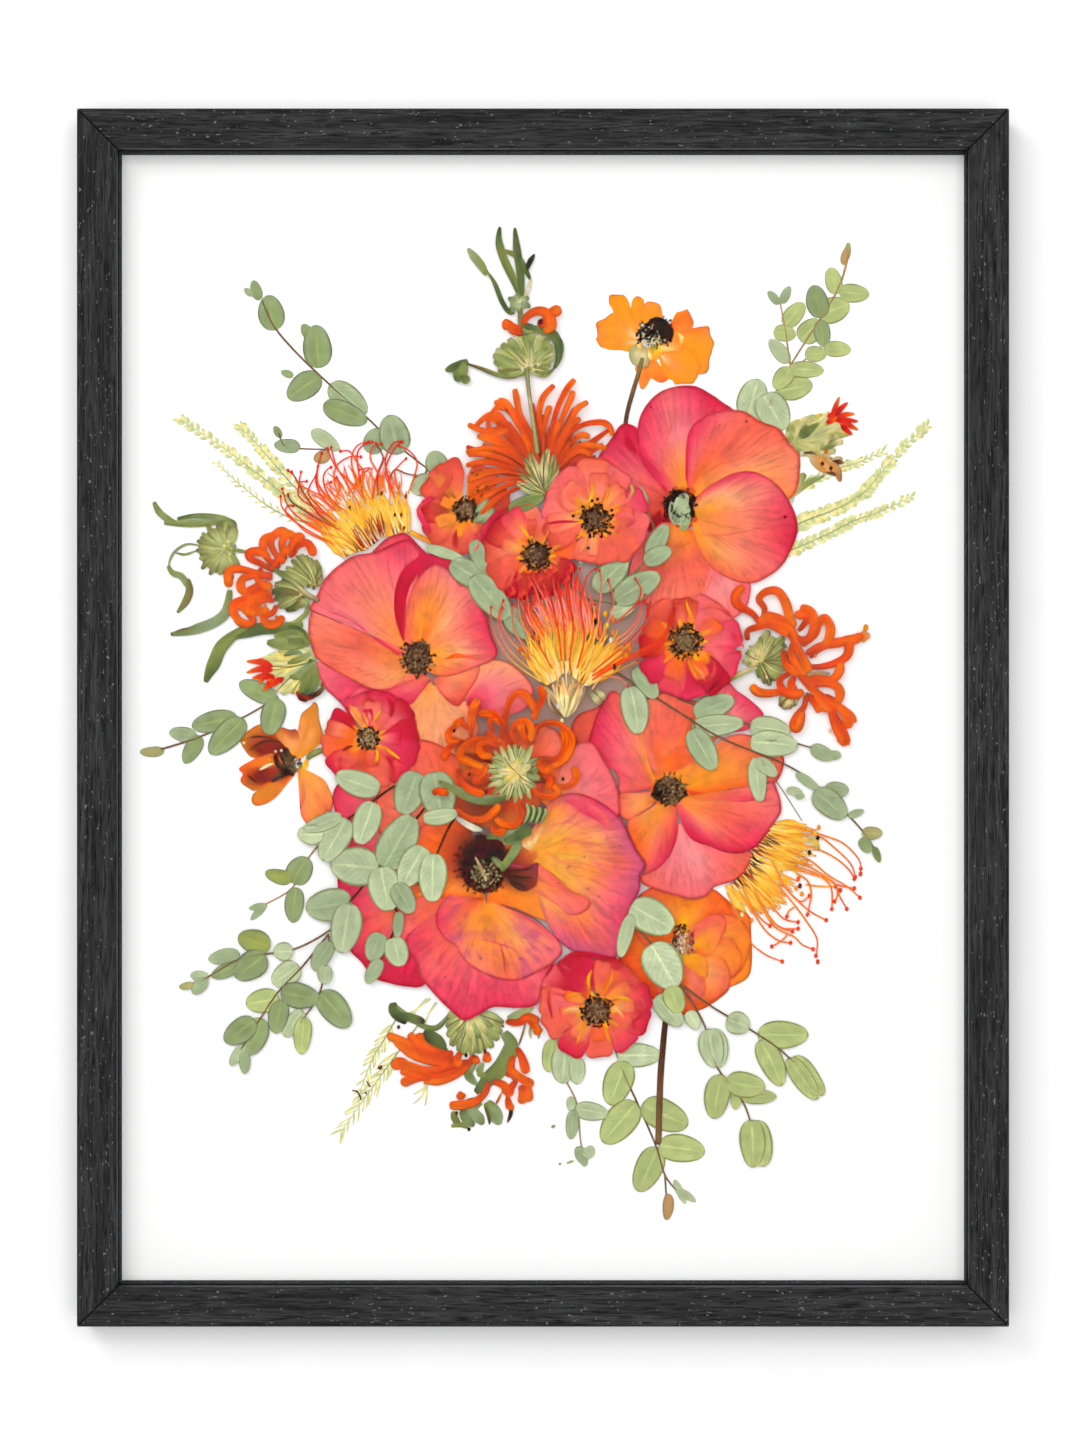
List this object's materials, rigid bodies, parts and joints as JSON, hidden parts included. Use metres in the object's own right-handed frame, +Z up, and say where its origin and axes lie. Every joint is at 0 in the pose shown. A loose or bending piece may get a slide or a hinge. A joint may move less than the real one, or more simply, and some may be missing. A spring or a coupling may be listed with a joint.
{
  "type": "pressed flower frame",
  "caption": "Black-stained wooden picture frame, glazed and spaced off a white board, with pressed roses, proteas, lion's ear, eucalyptus and plumes laid flat.",
  "frame": {"origin": "on the wall, in the middle of the back of the hanger on the top rail", "axes": "+Z up, -Y out of the front of the picture towards the room, +X to the right as seen from the front"},
  "size_m": [0.492, 0.0335, 0.643],
  "materials": {
    "stained_wood": "black stain, open grain, satin",
    "picture_glass": "clear float glass",
    "black_spacer": "matt",
    "mount_board": "matt white rag board",
    "backing_board": "hardboard brown",
    "zinc_steel": "zinc plated",
    "felt": "felt",
    "rose_petal": "dry pressed petal",
    "orange_petal": "dry pressed petal",
    "protea": "dry styles and florets",
    "lions_ear": "dry calyx, tubes and leaves",
    "eucalyptus_leaf": "dry leaf with a waxy bloom",
    "plume": "dry pale bracts"
  },
  "bodies": {
    "root": {"backing_board": "backing_board", "bumper_left": "felt", "bumper_right": "felt", "eucalyptus_bottom": "eucalyptus_leaf", "eucalyptus_bottom_left": "eucalyptus_leaf", "eucalyptus_bottom_right": "eucalyptus_leaf", "eucalyptus_bottom_small": "eucalyptus_leaf", "eucalyptus_center": "eucalyptus_leaf", "eucalyptus_left": "eucalyptus_leaf", "eucalyptus_left_low": "eucalyptus_leaf", "eucalyptus_left_small": "eucalyptus_leaf", "eucalyptus_right_lower": "eucalyptus_leaf", "eucalyptus_right_upper": "eucalyptus_leaf", "eucalyptus_small_left": "eucalyptus_leaf", "eucalyptus_top_left": "eucalyptus_leaf", "eucalyptus_top_right": "eucalyptus_leaf", "glass": "picture_glass", "hanger": "zinc_steel", "leonotis_bottom": "lions_ear", "leonotis_bud_right": "lions_ear", "leonotis_center": "lions_ear", "leonotis_left": "lions_ear", "leonotis_left_bud": "lions_ear", "leonotis_right": "lions_ear", "leonotis_top": "lions_ear", "lily_left": "orange_petal", "mount_board": "mount_board", "plume_bottom": "plume", "plume_left": "plume", "plume_right": "plume", "point_1": "zinc_steel", "point_2": "zinc_steel", "point_3": "zinc_steel", "point_4": "zinc_steel", "point_5": "zinc_steel", "point_6": "zinc_steel", "poppy_top": "orange_petal", "protea_center": "protea", "protea_left": "protea", "protea_right": "protea", "rail_bottom": "stained_wood", "rail_left": "stained_wood", "rail_right": "stained_wood", "rail_top": "stained_wood", "rose_bottom": "rose_petal", "rose_left": "rose_petal", "rose_lower_right": "rose_petal", "rose_orange": "orange_petal", "rose_upper_right": "rose_petal", "spacer_bottom": "black_spacer", "spacer_left": "black_spacer", "spacer_right": "black_spacer", "spacer_top": "black_spacer", "spray_rose_bottom": "rose_petal", "spray_rose_center": "rose_petal", "spray_rose_center_right": "rose_petal", "spray_rose_left_low": "rose_petal", "spray_rose_mid_right": "rose_petal", "spray_rose_top_left": "rose_petal"}
  },
  "joints": []
}
